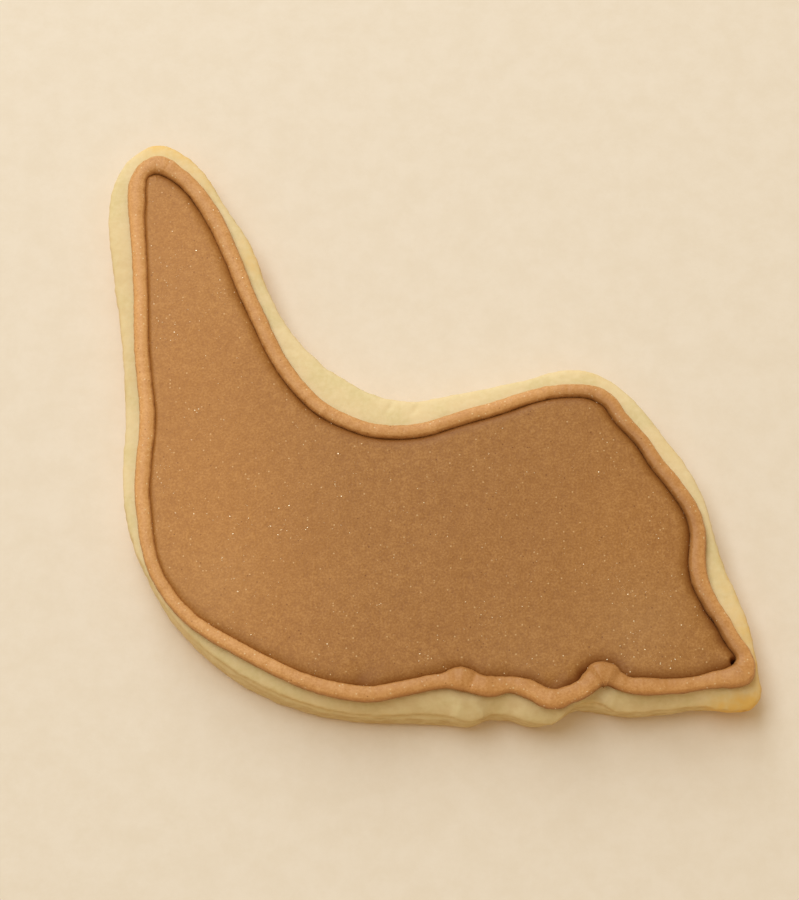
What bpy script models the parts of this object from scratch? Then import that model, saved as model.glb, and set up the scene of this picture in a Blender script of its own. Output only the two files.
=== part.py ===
"""An iced sugar biscuit: the baked biscuit, the bead of icing piped round it and the icing flooded inside.

Metres, +Z up. The biscuit lies on the floor at z = 0, centred on the origin, with its tall neck towards +Y.
"""

import math

import bmesh
import bpy
from mathutils import Vector
from mathutils.geometry import interpolate_bezier

MM = 0.001

# Driving sizes
BISCUIT_THICKNESS = 7.0 * MM
BISCUIT_EDGE_ROUND = 1.3 * MM
TOUCH_GAP = 0.3 * MM
BEAD_HALF_WIDTH = 1.2 * MM
BEAD_HEIGHT = 1.8 * MM
BEAD_UNDERCUT = math.radians(35)
FLOOD_THICKNESS = 1.4 * MM
FLOOD_RIM_ROUND = 0.6 * MM

# How finely the curves are read
STEPS_PER_ANCHOR = 4
BEAD_SIDES = 8
EDGE_STEPS = 3
WELD_DISTANCE = 0.01 * MM
SMOOTH_BELOW = math.radians(40)

# The biscuit's outline in plan, in millimetres, anticlockwise from the tip of the neck
BISCUIT_OUTLINE = (
    (-42.5, 47.7), (-46.3, 45.8), (-49.0, 42.1), (-50.2, 35.5), (-49.3, 26.6), (-47.1, 12.2),
    (-46.0, -0.4), (-45.8, -12.5), (-44.6, -18.6), (-41.5, -25.2), (-36.7, -33.0), (-23.8, -43.3),
    (-7.3, -47.1), (0.2, -47.1), (5.7, -47.6), (11.1, -46.6), (16.6, -47.9), (20.7, -46.9),
    (22.6, -45.0), (26.4, -45.2), (32.3, -46.3), (41.4, -45.0), (47.6, -44.8), (50.1, -43.0),
    (50.0, -39.8), (48.8, -34.9), (47.4, -29.4), (44.8, -23.5), (42.2, -12.7), (37.7, -4.1),
    (28.3, 6.6), (23.2, 8.0), (15.1, 6.1), (5.7, 4.0), (-3.6, 2.8), (-12.1, 6.3),
    (-19.2, 12.6), (-24.4, 21.7), (-27.0, 29.0), (-31.6, 36.5), (-35.3, 42.6), (-39.0, 46.1),
)

# The piped line in plan, anticlockwise from the tip: x, y and half its width, in millimetres
PIPED_LINE = (
    (-42.6, 43.1, 1.36), (-44.7, 41.8, 1.36), (-45.5, 37.2, 1.50), (-44.8, 27.7, 1.22),
    (-42.2, -1.2, 1.20), (-42.6, -9.3, 1.24), (-42.5, -14.3, 1.21), (-38.5, -28.5, 1.02),
    (-26.2, -38.2, 1.06), (-9.1, -44.5, 1.25), (-0.6, -43.2, 1.26), (5.5, -42.4, 1.66),
    (9.3, -43.4, 1.66), (12.1, -42.9, 1.40), (14.8, -43.2, 1.54), (19.0, -45.3, 1.58),
    (25.8, -41.4, 1.90), (30.5, -43.1, 1.40), (36.0, -43.4, 1.24), (43.7, -42.3, 1.43),
    (46.4, -40.9, 1.68), (46.3, -38.0, 1.48), (41.3, -26.5, 1.32), (41.1, -17.5, 1.21),
    (38.2, -12.0, 1.21), (33.4, -4.4, 1.10), (28.0, 2.4, 1.16), (23.1, 3.7, 1.04),
    (8.7, -0.1, 1.12), (-3.6, -3.3, 1.08), (-12.0, -1.5, 1.10), (-18.9, 3.8, 1.16),
    (-27.2, 18.9, 1.21), (-33.2, 33.5, 1.35), (-38.0, 40.0, 1.36),
)


def clear_scene():
    for item in list(bpy.data.objects):
        bpy.data.objects.remove(item, do_unlink=True)


def new_collection(name):
    collection = bpy.data.collections.new(name)
    bpy.context.scene.collection.children.link(collection)
    return collection


def new_material(name, colour, roughness):
    material = bpy.data.materials.new(name)
    material.use_nodes = True
    shader = material.node_tree.nodes["Principled BSDF"]
    shader.inputs["Base Color"].default_value = (*colour, 1.0)
    shader.inputs["Roughness"].default_value = roughness
    shader.inputs["Metallic"].default_value = 0.0
    return material


def smooth_line(anchors):
    """Points in metres along the closed Bezier curve through the anchors."""
    curve = bpy.data.curves.new("guide", "CURVE")
    spline = curve.splines.new("BEZIER")
    spline.bezier_points.add(len(anchors) - 1)
    spline.use_cyclic_u = True
    knots = spline.bezier_points
    for knot, anchor in zip(knots, anchors):
        knot.co = (anchor[0] * MM, anchor[1] * MM, 0.0)
    for knot in knots:
        knot.handle_left_type = "AUTO"
        knot.handle_right_type = "AUTO"
    line = []
    for i, start in enumerate(knots):
        end = knots[(i + 1) % len(knots)]
        line += interpolate_bezier(
            start.co, start.handle_right, end.handle_left, end.co, STEPS_PER_ANCHOR + 1
        )[:-1]
    bpy.data.curves.remove(curve)
    return [point.xy for point in line]


def smooth_widths(anchors):
    """Half the bead's width in metres at each point of the smooth line, eased from anchor to anchor."""
    widths = []
    for i, anchor in enumerate(anchors):
        change = anchors[(i + 1) % len(anchors)][2] - anchor[2]
        for step in range(STEPS_PER_ANCHOR):
            share = step / STEPS_PER_ANCHOR
            widths.append((anchor[2] + change * share * share * (3.0 - 2.0 * share)) * MM)
    return widths


def inward_normals(line):
    """For each point of an anticlockwise closed line, the unit direction in plan towards its inside."""
    normals = []
    for i in range(len(line)):
        along = line[(i + 1) % len(line)] - line[i - 1]
        normals.append(Vector((-along.y, along.x)).normalized())
    return normals


def finish_mesh(item, material, cookie, collection):
    """Welds the caps, turns the faces outwards, shades round edges smooth and joins the object to the rest."""
    shape = bmesh.new()
    shape.from_mesh(item.data)
    bmesh.ops.remove_doubles(shape, verts=shape.verts, dist=WELD_DISTANCE)
    bmesh.ops.recalc_face_normals(shape, faces=shape.faces)
    shape.to_mesh(item.data)
    shape.free()
    item.data.shade_smooth()
    item.data.set_sharp_from_angle(angle=SMOOTH_BELOW)
    item.data.materials.append(material)
    item.parent = cookie
    collection.objects.link(item)


def rounded_slab(name, line, thickness, edge_round):
    """A flat outline with rounded edges, its underside at z = 0: a filled 2D curve, extruded and bevelled."""
    curve = bpy.data.curves.new(name, "CURVE")
    curve.dimensions = "2D"
    curve.fill_mode = "BOTH"
    curve.extrude = thickness / 2 - edge_round
    curve.bevel_depth = edge_round
    curve.bevel_resolution = EDGE_STEPS
    curve.offset = -edge_round
    spline = curve.splines.new("POLY")
    spline.points.add(len(line) - 1)
    spline.use_cyclic_u = True
    for knot, point in zip(spline.points, line):
        knot.co = (point.x, point.y, 0.0, 1.0)
    drawn = bpy.data.objects.new(name + "_curve", curve)
    bpy.context.scene.collection.objects.link(drawn)
    evaluated = drawn.evaluated_get(bpy.context.evaluated_depsgraph_get())
    mesh = bpy.data.meshes.new_from_object(evaluated)
    bpy.data.objects.remove(drawn, do_unlink=True)
    for vertex in mesh.vertices:
        vertex.co.z += thickness / 2
    return bpy.data.objects.new(name, mesh)


def bead_section(half_width):
    """A bead's cross-section as (share of the half width, height): flat below, round above, a little undercut.

    A pooled stretch spreads more than it rises, so the height follows the square root of the width.
    """
    height = BEAD_HEIGHT * math.sqrt(half_width / BEAD_HALF_WIDTH)
    foot = math.sin(BEAD_UNDERCUT)
    section = []
    for side in range(BEAD_SIDES + 1):
        angle = -BEAD_UNDERCUT + (math.pi + 2 * BEAD_UNDERCUT) * side / BEAD_SIDES
        section.append((math.cos(angle), height * (math.sin(angle) + foot) / (1.0 + foot)))
    return section


def piped_bead(name, line, half_widths):
    """A loft round the closed line, its underside at z = 0, as its width and height change separately."""
    shape = bmesh.new()
    rings = []
    for point, inward, half_width in zip(line, inward_normals(line), half_widths):
        ring = []
        for share, height in bead_section(half_width):
            place = point - inward * half_width * share
            ring.append(shape.verts.new((place.x, place.y, height)))
        rings.append(ring)
    for i, ring in enumerate(rings):
        previous = rings[i - 1]
        for k, corner in enumerate(ring):
            after = (k + 1) % len(ring)
            shape.faces.new((previous[k], previous[after], ring[after], corner))
    mesh = bpy.data.meshes.new(name)
    shape.to_mesh(mesh)
    shape.free()
    return bpy.data.objects.new(name, mesh)


def flood_outline(line, half_widths):
    """The piped line moved inwards, past half the bead's width and the gap beside it."""
    return [
        point + inward * (half_width + TOUCH_GAP)
        for point, inward, half_width in zip(line, inward_normals(line), half_widths)
    ]


def build():
    clear_scene()
    collection = new_collection("iced_sugar_biscuit")
    cookie = bpy.data.objects.new("iced_sugar_biscuit_frame", None)
    collection.objects.link(cookie)
    dough = new_material("baked_dough", (0.80, 0.60, 0.31), 0.85)
    piping = new_material("piped_icing", (0.62, 0.33, 0.13), 0.45)
    flooding = new_material("flooded_icing", (0.42, 0.20, 0.065), 0.50)

    biscuit = rounded_slab(
        "biscuit", smooth_line(BISCUIT_OUTLINE), BISCUIT_THICKNESS, BISCUIT_EDGE_ROUND
    )
    finish_mesh(biscuit, dough, cookie, collection)

    piped_line = smooth_line(PIPED_LINE)
    half_widths = smooth_widths(PIPED_LINE)
    bead = piped_bead("piped_outline", piped_line, half_widths)
    bead.location.z = BISCUIT_THICKNESS + TOUCH_GAP
    finish_mesh(bead, piping, cookie, collection)

    flood = rounded_slab(
        "flood_icing", flood_outline(piped_line, half_widths), FLOOD_THICKNESS, FLOOD_RIM_ROUND
    )
    flood.location.z = BISCUIT_THICKNESS + TOUCH_GAP
    finish_mesh(flood, flooding, cookie, collection)


build()
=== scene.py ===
# %% [markdown]
# # An iced sugar biscuit
# The object is a hand-cut biscuit, baked so briefly that its face stays the colour of cream, with two
# icings on it. A bead of stiff icing is piped round the face first, then a runnier one is flooded inside.
# Both are tinted brown and dusted with lustre powder, which leaves tiny bright flecks.
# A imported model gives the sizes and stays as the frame. This lesson makes what its solids leave out: the
# crumb of the dough, a bead that swells and folds, a skin of icing that rolls down at its rim, and dust.

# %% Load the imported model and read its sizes
import math

import bmesh
import bpy
import numpy as np
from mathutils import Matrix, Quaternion, Vector, kdtree, noise
from mathutils.geometry import delaunay_2d_cdt, interpolate_bezier


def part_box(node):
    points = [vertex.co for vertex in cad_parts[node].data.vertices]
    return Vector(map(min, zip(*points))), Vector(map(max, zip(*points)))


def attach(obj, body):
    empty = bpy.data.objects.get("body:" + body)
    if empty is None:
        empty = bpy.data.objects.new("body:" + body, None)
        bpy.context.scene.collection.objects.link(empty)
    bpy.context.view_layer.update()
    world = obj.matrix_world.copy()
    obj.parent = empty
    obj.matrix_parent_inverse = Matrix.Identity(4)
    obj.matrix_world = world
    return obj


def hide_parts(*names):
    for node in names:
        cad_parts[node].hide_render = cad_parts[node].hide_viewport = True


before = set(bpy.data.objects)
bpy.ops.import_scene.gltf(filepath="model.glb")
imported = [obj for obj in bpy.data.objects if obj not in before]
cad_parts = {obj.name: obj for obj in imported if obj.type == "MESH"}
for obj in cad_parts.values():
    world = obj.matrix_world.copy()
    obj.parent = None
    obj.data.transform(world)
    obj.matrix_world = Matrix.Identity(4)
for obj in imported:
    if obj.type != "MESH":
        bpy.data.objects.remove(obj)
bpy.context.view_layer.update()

MM = 0.001
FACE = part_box("biscuit")[1].z
BEAD_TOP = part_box("piped_outline")[1].z
FLOOD_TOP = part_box("flood_icing")[1].z
print(f"Heights in mm: face {FACE / MM:.2f}, flood {FLOOD_TOP / MM:.2f}, bead {BEAD_TOP / MM:.2f}")

# %% [markdown]
# ## The camera
# A flat biscuit is best seen from nearly above, so the camera looks down at 69 degrees, with a long lens
# that keeps the outline free of perspective stretch. It is placed from its aim point, its distance and its
# elevation, because those three can be reasoned about, and a bare location cannot.

# %% Place the camera
CAMERA_ELEVATION = math.radians(69.0)
CAMERA_DISTANCE = 344.6 * MM
CAMERA_AIM = Vector((-3.65, -5.76, 7.0)) * MM
CAMERA_LENS = 90.0
SENSOR_WIDTH = 36.0


def new_object(name, data):
    """A new object at the origin, linked to the scene."""
    item = bpy.data.objects.new(name, data)
    bpy.context.scene.collection.objects.link(item)
    return item


def place_camera():
    """A camera that looks towards +Y and down, with no shift and no depth of field."""
    data = bpy.data.cameras.new("camera")
    data.lens = CAMERA_LENS
    data.sensor_width = SENSOR_WIDTH
    data.clip_start = 0.01
    camera = new_object("camera", data)
    away = Vector((0.0, -math.cos(CAMERA_ELEVATION), math.sin(CAMERA_ELEVATION)))
    camera.location = CAMERA_AIM + CAMERA_DISTANCE * away
    camera.rotation_euler = (math.pi / 2 - CAMERA_ELEVATION, 0.0, 0.0)
    bpy.context.scene.camera = camera
    return camera


camera = place_camera()
print(f"The camera stands {camera.location.z / MM:.0f} mm above the floor")

# %% [markdown]
# ## A short way to write node trees
# Every finish below is a tree of nodes. One helper adds a node with its properties and with its inputs as
# a dictionary, so trees read from top to bottom like a calculation. That is easier to follow than separate
# lines for each node and each link.

# %% Helpers for node trees
def feed(tree, node, inputs):
    """Gives a node its inputs by name or number: a socket is linked, and a number or a colour is set."""
    for key, value in inputs.items():
        if isinstance(value, bpy.types.NodeSocket):
            tree.links.new(value, node.inputs[key])
        else:
            node.inputs[key].default_value = value


def add(tree, kind, inputs=None, **settings):
    """Adds a node, sets its properties and feeds its inputs."""
    node = tree.nodes.new(kind)
    for name, value in settings.items():
        setattr(node, name, value)
    feed(tree, node, inputs or {})
    return node


def calculate(tree, operation, *values, clamp=False):
    """The result of a Math node."""
    node = add(tree, "ShaderNodeMath", dict(enumerate(values)), operation=operation, use_clamp=clamp)
    return node.outputs[0]


def blend(tree, share, first, second, how="MIX"):
    """The colour between two colours, for a share from 0 to 1."""
    node = add(tree, "ShaderNodeMix", {0: share, 6: first, 7: second}, data_type="RGBA", blend_type=how)
    return node.outputs[2]


def step_up(tree, value, low, high):
    """0 below the low value, 1 above the high one, and smooth between them."""
    node = add(tree, "ShaderNodeMapRange", {0: value, 1: low, 2: high}, interpolation_type="SMOOTHSTEP")
    return node.outputs[0]


def cloud(tree, where, size, detail=2.0, roughness=0.5):
    """Noise from 0 to 1 whose blotches are about as wide as the size, in metres."""
    inputs = {"Vector": where, "Scale": 1.0 / size, "Detail": detail, "Roughness": roughness}
    return add(tree, "ShaderNodeTexNoise", inputs).outputs["Fac"]


def stored(tree, name):
    """A number that the mesh keeps on its points, as the material reads it."""
    return add(tree, "ShaderNodeAttribute", attribute_name=name).outputs["Fac"]


def add_relief(tree, shader, height, depth, strength=1.0):
    """Fine relief that isn't in the mesh: a height from 0 to 1, and how deep it would be in metres."""
    bump = add(tree, "ShaderNodeBump", {"Distance": depth, "Strength": strength, "Height": height})
    feed(tree, shader, {"Normal": bump.outputs[0]})


def new_material(name):
    """A material with its tree, its Principled shader and its Object coordinates."""
    material = bpy.data.materials.new(name)
    material.use_nodes = True
    tree = material.node_tree
    where = add(tree, "ShaderNodeTexCoord").outputs["Object"]
    return material, tree, tree.nodes["Principled BSDF"], where


def srgb(red, green, blue):
    """A colour written as on a screen, from 0 to 255, turned into the linear light that shaders use."""
    shares = [channel / 255.0 for channel in (red, green, blue)]
    linear = [c / 12.92 if c <= 0.04045 else ((c + 0.055) / 1.055) ** 2.4 for c in shares]
    return (*linear, 1.0)


# %% [markdown]
# ## Light and floor
# Food on a table is lit by one broad soft source. Here it is a long panel above the far side of the
# table, a little to the left, so the shadows are soft and fall towards the viewer and to the right, and a
# warm even world fills them. The floor is a sheet of cream paper with faint clouds in it.

# %% Light the scene and lay the floor
KEY_PLACE = Vector((-0.29, 0.54, 0.80))
KEY_ROLL = math.radians(-33.0)
KEY_WIDTH = 0.52
KEY_LENGTH = 1.65
KEY_POWER = 12.0
KEY_COLOUR = (0.70, 0.83, 0.98)
FILL_COLOUR = (1.0, 0.85, 0.58)
FILL_STRENGTH = 0.51
FLOOR_WIDTH = 4.0


def light_scene():
    data = bpy.data.lights.new("soft_key", "AREA")
    data.shape = "RECTANGLE"
    data.size = KEY_WIDTH
    data.size_y = KEY_LENGTH
    data.energy = KEY_POWER
    data.color = KEY_COLOUR
    key = new_object("soft_key", data)
    key.location = KEY_PLACE
    aimed = (-KEY_PLACE).to_track_quat("-Z", "Y")
    key.rotation_euler = (aimed @ Quaternion((0.0, 0.0, 1.0), KEY_ROLL)).to_euler()
    world = bpy.data.worlds.new("soft_fill")
    world.use_nodes = True
    background = world.node_tree.nodes["Background"]
    feed(world.node_tree, background, {"Color": (*FILL_COLOUR, 1.0), "Strength": FILL_STRENGTH})
    bpy.context.scene.world = world
    bpy.context.scene.view_settings.view_transform = "Standard"


def floor_paper():
    material, tree, shader, where = new_material("cream_paper")
    clouds = cloud(tree, where, 5 * MM, detail=6.0, roughness=0.75)
    clouds = step_up(tree, clouds, 0.3, 0.7)
    colour = blend(tree, clouds, srgb(236, 216, 190), srgb(240, 221, 197))
    feed(tree, shader, {"Base Color": colour, "Roughness": 0.9, "Specular IOR Level": 0.15})
    add_relief(tree, shader, cloud(tree, where, 1.2 * MM, detail=3.0), 0.02 * MM)
    return material


def lay_floor():
    mesh = bpy.data.meshes.new("floor")
    shape = bmesh.new()
    bmesh.ops.create_grid(shape, x_segments=1, y_segments=1, size=FLOOR_WIDTH / 2)
    shape.to_mesh(mesh)
    shape.free()
    mesh.materials.append(floor_paper())
    floor = new_object("floor", mesh)


light_scene()
lay_floor()
print(f"The key light is {KEY_PLACE.length:.2f} m away")

# %% [markdown]
# ## Lines read one by one, drawn as one smooth curve
# A hand-cut outline follows no formula, so it is kept as the few points that its shape needs, joined by
# Blender's own automatic Bezier handles, as an artist would draw it over a picture. Each point may carry
# more values, such as the bead's half width there, which are eased from point to point. The curve is then
# read at even steps, because everything made along it later wants even spacing.

# %% Helpers for closed lines
STEPS_PER_ANCHOR = 24


def even_line(anchors, spacing):
    """Rows of x, y and the anchors' further values, in metres, evenly spaced round the closed curve."""
    curve = bpy.data.curves.new("guide", "CURVE")
    spline = curve.splines.new("BEZIER")
    spline.bezier_points.add(len(anchors) - 1)
    spline.use_cyclic_u = True
    knots = spline.bezier_points
    for knot, anchor in zip(knots, anchors):
        knot.co = (anchor[0] * MM, anchor[1] * MM, 0.0)
    for knot in knots:
        knot.handle_left_type = "AUTO"
        knot.handle_right_type = "AUTO"
    values = np.array([anchor[2:] for anchor in anchors]) * MM
    rows = []
    for i, start in enumerate(knots):
        after = (i + 1) % len(knots)
        end = knots[after]
        places = interpolate_bezier(
            start.co, start.handle_right, end.handle_left, end.co, STEPS_PER_ANCHOR + 1
        )
        for step, place in enumerate(places[:-1]):
            share = step / STEPS_PER_ANCHOR
            eased = share * share * (3.0 - 2.0 * share)
            rows.append([place.x, place.y, *(values[i] * (1.0 - eased) + values[after] * eased)])
    bpy.data.curves.remove(curve)
    rows = np.array(rows + rows[:1])
    gone = np.append(0.0, np.cumsum(np.linalg.norm(np.diff(rows[:, :2], axis=0), axis=1)))
    count = round(gone[-1] / spacing)
    marks = np.arange(count) * gone[-1] / count
    return np.column_stack([np.interp(marks, gone, column) for column in rows.T])


def inward_normals(line):
    """For each point of an anticlockwise closed line, the unit direction towards its inside."""
    along = np.roll(line[:, :2], -1, axis=0) - np.roll(line[:, :2], 1, axis=0)
    across = np.column_stack([-along[:, 1], along[:, 0]])
    return across / np.linalg.norm(across, axis=1, keepdims=True)


def line_reader(line):
    """A function that tells how far inside the line a place is, and which point of the line is nearest."""
    tree = kdtree.KDTree(len(line))
    for i, point in enumerate(line):
        tree.insert((point[0], point[1], 0.0), i)
    tree.balance()
    inward = inward_normals(line)

    def read(x, y):
        nearest, i, distance = tree.find((x, y, 0.0))
        side = (x - nearest.x) * inward[i, 0] + (y - nearest.y) * inward[i, 1]
        return math.copysign(distance, side), i

    return read


def bump_at(x, y, spots):
    """The sum of soft round bumps: each spot is x, y, reach and height, in millimetres."""
    total = 0.0
    for spot_x, spot_y, reach, height in spots:
        squared = ((x / MM - spot_x) ** 2 + (y / MM - spot_y) ** 2) / reach**2
        if squared < 9.0:
            total += height * math.exp(-squared)
    return total


def cloud_at(point, size, shift=0.0):
    """Noise from about -1 to 1 at a point, with blotches of the given size in metres."""
    return noise.noise(Vector(point) / size + Vector((shift, shift * 0.7, shift * 1.3)))


def store(mesh, **columns):
    """Keeps numbers on the mesh's points, one for each, under names that the materials read."""
    for name, values in columns.items():
        mesh.attributes.new(name, "FLOAT", "POINT").data.foreach_set("value", values)


def into_object(name, mesh, material):
    """A finished piece: smooth faces, one material, and its object at the origin."""
    mesh.name = name
    mesh.shade_smooth()
    mesh.materials.clear()
    mesh.materials.append(material)
    return new_object(name, mesh)


def smoothstep(low, high, value):
    """0 below the low value, 1 above the high one, and smooth between them, for a number or an array."""
    share = np.clip((value - low) / (high - low), 0.0, 1.0)
    return share * share * (3.0 - 2.0 * share)


# %% [markdown]
# ## The biscuit: its outline
# The dough was cut with a shaped cutter and handled while soft, so the face's rim and the base below it
# do not quite match: along the near edge the rim hangs over the base in two places and stands back from it
# in others. The outline is therefore the rim of the face, with how far it hangs over as a third value
# wherever that differs from the usual slight overhang.

# %% The rim of the face, in millimetres: x, y and overhang
USUAL_OVERHANG = 0.3
BISCUIT_RIM = (
    (-42.5, 47.7), (-46.3, 45.8), (-49.0, 42.1), (-50.2, 35.5), (-49.3, 26.6), (-47.1, 12.2),
    (-46.0, -0.4), (-45.8, -12.5), (-44.6, -18.6, 0.4), (-41.9, -25.2), (-37.4, -32.2, 0.0),
    (-29.5, -39.4, -0.25), (-24.2, -42.4, -0.4), (-18.3, -44.9, -0.3), (-10.9, -46.6, -0.1),
    (-3.6, -46.9, -0.2), (2.3, -46.8, -0.5), (3.8, -47.1, -0.3), (5.2, -47.7, 0.1), (6.7, -47.9, 0.2),
    (8.2, -47.6, 0.4), (9.2, -47.1, 0.4), (11.1, -46.8, 0.15), (12.6, -47.1, 0.35), (15.5, -48.0, 0.45),
    (16.9, -48.2, 0.6), (18.4, -48.2, 1.1), (19.9, -47.8, 1.5), (21.4, -46.3, 0.9), (22.4, -45.6),
    (24.4, -45.0, -0.35), (25.8, -45.2, -0.4), (26.7, -45.7, 0.1), (28.0, -46.3, 0.5), (31.7, -46.4),
    (36.1, -46.0, 0.2), (40.5, -45.6, 0.5), (42.7, -45.9, 0.8), (46.4, -46.2, 1.0), (49.1, -45.4, 0.8),
    (49.8, -43.4, 0.5), (49.6, -41.4), (49.2, -37.7), (48.5, -33.4), (47.3, -29.6), (45.4, -24.6),
    (44.3, -20.2), (42.6, -12.9), (37.7, -4.1), (28.3, 6.6), (23.2, 8.0), (15.1, 6.1), (5.7, 4.0),
    (-3.6, 2.8), (-12.1, 6.3), (-19.2, 12.6), (-24.4, 21.7), (-27.0, 29.0), (-31.6, 36.5),
    (-35.3, 42.6), (-39.0, 46.1),
)


def biscuit_rim(spacing):
    """The rim as an even line of x, y and overhang. Anchors that give no overhang have the usual one."""
    return even_line([(*anchor, USUAL_OVERHANG)[:3] for anchor in BISCUIT_RIM], spacing)


print(f"The rim has {len(BISCUIT_RIM)} anchors")

# %% [markdown]
# ## The biscuit: its body
# A cutter leaves an upright wall, and baking rounds its two edges. The face also spreads a little, which
# leaves a shallow groove under its rim, deepest on the near side. That is a loft: the outline is repeated
# at several heights, moved in or out a little, and the rings are joined with faces. The loft alone has
# long thin faces that cannot carry crumb, so a voxel Remesh turns it into even small squares, fine enough
# to be pushed about by noise afterwards.

# %% Loft the biscuit's body
RING_SPACING = 0.5 * MM
BASE_ROUND = 0.7 * MM
RIM_ROUND = 0.9 * MM
WALL_BULGE = 0.15 * MM
LEDGE_DEPTH = 0.5 * MM
LEDGE_DROP = 1.5 * MM
LEDGE_REACH = 0.45 * MM
ROUND_STEPS = 5
WALL_STEPS = 16
DOUGH_VOXEL = 0.37 * MM


def side_profile():
    """The side of the biscuit from base to face: rows of height, share of the way up, inset and ledge."""
    rows = []
    for step in range(ROUND_STEPS + 1):
        turn = math.pi / 2 * step / ROUND_STEPS
        height = BASE_ROUND * (1.0 - math.cos(turn))
        rows.append((height, 0.0, BASE_ROUND * (1.0 - math.sin(turn)), 0.0))
    for step in range(1, WALL_STEPS):
        share = step / WALL_STEPS
        height = BASE_ROUND + (FACE - BASE_ROUND - RIM_ROUND) * share
        ledge = LEDGE_DEPTH * math.exp(-(((height - FACE + LEDGE_DROP) / LEDGE_REACH) ** 2))
        rows.append((height, share, -WALL_BULGE * math.sin(math.pi * share), ledge))
    for step in range(ROUND_STEPS + 1):
        turn = math.pi / 2 * step / ROUND_STEPS
        height = FACE - RIM_ROUND * (1.0 - math.sin(turn))
        rows.append((height, 1.0, RIM_ROUND * (1.0 - math.cos(turn)), 0.0))
    return rows


def biscuit_loft():
    rim = biscuit_rim(RING_SPACING)
    inward = inward_normals(rim)
    shape = bmesh.new()
    nearness = 0.3 + 0.7 * np.clip(inward[:, 1:], 0.0, 1.0) ** 3
    rings = []
    for height, share, inset, ledge in side_profile():
        plan = rim[:, :2] + inward * (rim[:, 2:3] * (1.0 - share) + inset + ledge * nearness)
        rings.append([shape.verts.new((x, y, height)) for x, y in plan])
    for lower, upper in zip(rings, rings[1:]):
        for i in range(len(lower)):
            shape.faces.new((lower[i - 1], lower[i], upper[i], upper[i - 1]))
    shape.faces.new(list(reversed(rings[0])))
    shape.faces.new(rings[-1])
    mesh = bpy.data.meshes.new("biscuit_loft")
    shape.to_mesh(mesh)
    shape.free()
    return mesh


def plain_mesh(item):
    """The object's mesh as its modifiers leave it. The object itself is removed."""
    evaluated = item.evaluated_get(bpy.context.evaluated_depsgraph_get())
    mesh = bpy.data.meshes.new_from_object(evaluated)
    bpy.data.objects.remove(item, do_unlink=True)
    return mesh


def remeshed(mesh, voxel):
    item = new_object("even_skin", mesh)
    skin = item.modifiers.new("even_skin", "REMESH")
    skin.mode = "VOXEL"
    skin.voxel_size = voxel
    return plain_mesh(item)


dough_mesh = remeshed(biscuit_loft(), DOUGH_VOXEL)
print(f"The dough has {len(dough_mesh.vertices)} points, {DOUGH_VOXEL / MM:.2f} mm apart")

# %% [markdown]
# ## The biscuit: its surface
# Real dough is not flat: the face sinks a little towards the rim and at the thin corner, it carries a fine
# crumb, it is creased where it was stretched over the saddle, and the cut wall is rougher, with faint
# layers in it. Each is a small move of the points, so each is a term that can be changed on its own.
# The same pass stores two values on every point for the material: how browned it is, with a little painted
# shade along the near margin, and how far it takes the duller colour of the wall. That is partly the cut
# wall's own colour and partly painted shade: it is strongest on walls facing the near side and the right,
# and painted shade also puts it on some spots of the face.

# %% Shape the dough's surface and mark where it browned
MEASURE_SPACING = 0.1 * MM
FLAT_BASE = 0.3 * MM
# Depths and reaches in millimetres, and the gold as shares
RIM_SAG = 0.35
NEAR_SAG = 1.35
RIM_SAG_REACH = 2.0
SWELL_HEIGHT = 0.07
FACE_CRUMB = 0.04
FACE_GRIT = 0.03
WALL_LAYERS = 0.15
WALL_CRUMB = 0.10
RIM_GOLD = 0.12
RIM_GOLD_REACH = 0.6
BASE_GOLD = 0.4
BASE_GOLD_RISE = 0.16
# Painted shade: a warmer, darker margin along the near side, given as gold
NEAR_GOLD = 0.08
NEAR_GOLD_REACH = 3.5
# Noise: the size of its blotches, and a shift that keeps each kind from repeating another
SWELL = (9 * MM, 0.0)
BLOTCHES = (6 * MM, 5.0)
LAYERS = (2.8 * MM, 3.0)
CRUMB = (1.3 * MM, 7.0)
GRIT = (0.75 * MM, 11.0)
# Where the face is lower: x, y, reach and depth. The last is under the pit in the icing.
PIT = (45.6, -39.6)
THIN_SPOTS = (
    (50.6, -44.9, 3.0, 0.5), (-42.6, 48.4, 3.0, 0.4), (36.0, -47.5, 4.0, 0.3), (*PIT, 0.8, 1.7),
)
# Where heat reached the dough first: x, y, reach and share
BROWN_SPOTS = (
    (48.8, -47.3, 3.6, 0.72), (43.8, -47.6, 3.4, 0.4), (50.5, -40.5, 3.2, 0.3), (-43.0, 49.5, 4.5, 0.6),
    (-37.0, 46.5, 3.0, 0.4), (-34.0, 41.0, 4.5, 0.25), (-26.5, 27.0, 5.0, 0.3), (36.5, -6.0, 5.0, 0.15),
    (46.5, -26.0, 5.0, 0.2), (49.5, -34.0, 5.0, 0.38), (27.0, 9.0, 4.0, 0.22),
    (-51.5, 40.0, 4.0, 0.15), (-49.0, 24.0, 9.0, 0.1), (-47.0, 6.0, 9.0, 0.1),
)
# Painted shade, where the face takes the wall's duller colour: x, y, reach and share
DULL_DOUGH = (
    (-8.0, -47.0, 9.0, 0.4), (6.0, -47.0, 9.0, 0.45), (20.0, -47.0, 9.0, 0.4), (33.0, -46.5, 7.0, 0.35),
    (-49.5, 24.0, 9.0, 0.3), (-47.5, 6.0, 9.0, 0.3),
)
# Creases: x, y, length, half width, turn in degrees from the x axis, and depth, in millimetres
CREASES = (
    (-5.1, 1.4, 2.6, 0.32, 62.0, 0.22), (-1.1, 1.3, 2.0, 0.34, 68.0, 0.26),
    (19.9, 6.8, 1.6, 0.30, 30.0, 0.15), (-48.3, 17.0, 6.0, 0.25, 100.0, 0.16),
    (-46.9, 5.0, 9.0, 0.30, 95.0, 0.12), (-20.5, 11.0, 2.4, 0.35, 150.0, 0.10),
    (44.5, -20.0, 3.0, 0.35, 75.0, 0.10),
)


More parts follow.
